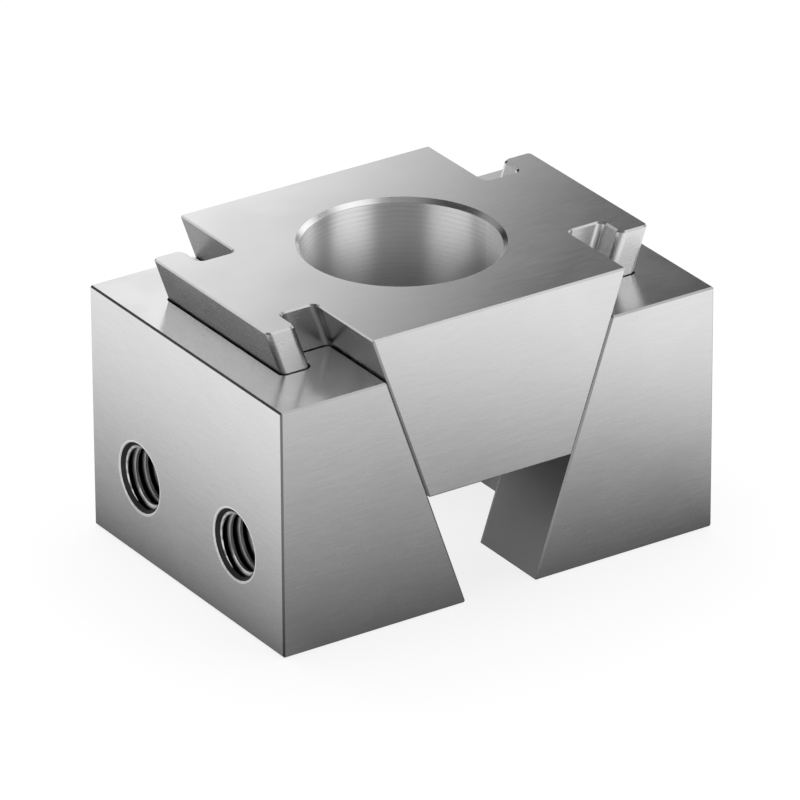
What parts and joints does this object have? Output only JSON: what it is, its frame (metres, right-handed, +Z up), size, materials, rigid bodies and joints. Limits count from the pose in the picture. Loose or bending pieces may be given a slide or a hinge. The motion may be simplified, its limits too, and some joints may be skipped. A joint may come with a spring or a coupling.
{
  "type": "double wedge fixture clamp",
  "caption": "Low wedge clamp for a fixture plate: a counterbored wedge, guided by T tongues, spreads a pair of ground steel jaws with tapped outer faces.",
  "frame": {"origin": "on the base, in the middle of the gap between the jaws", "axes": "+X from the left jaw to the right jaw, +Y along the jaws' depth, +Z up the screw hole"},
  "size_m": [0.0554, 0.038, 0.0341],
  "materials": {
    "ground_steel": "fine ground, hardened, bright"
  },
  "bodies": {
    "left_jaw": {"left_jaw": "ground_steel"},
    "wedge": {"wedge": "ground_steel"},
    "right_jaw": {"right_jaw": "ground_steel"}
  },
  "joints": [
    {"name": "wedge_slide", "type": "slide", "parent": "left_jaw", "child": "wedge", "axis": [0.3256, 0, -0.9455], "range_m": [-0.003, 0.0056]},
    {"name": "right_jaw_slide", "type": "slide", "parent": "wedge", "child": "right_jaw", "axis": [0.3256, 0, 0.9455], "range_m": [-0.003, 0.0056]}
  ],
  "couplings": [
    {"joint": "right_jaw_slide", "follows": "wedge_slide", "ratio": 1}
  ]
}
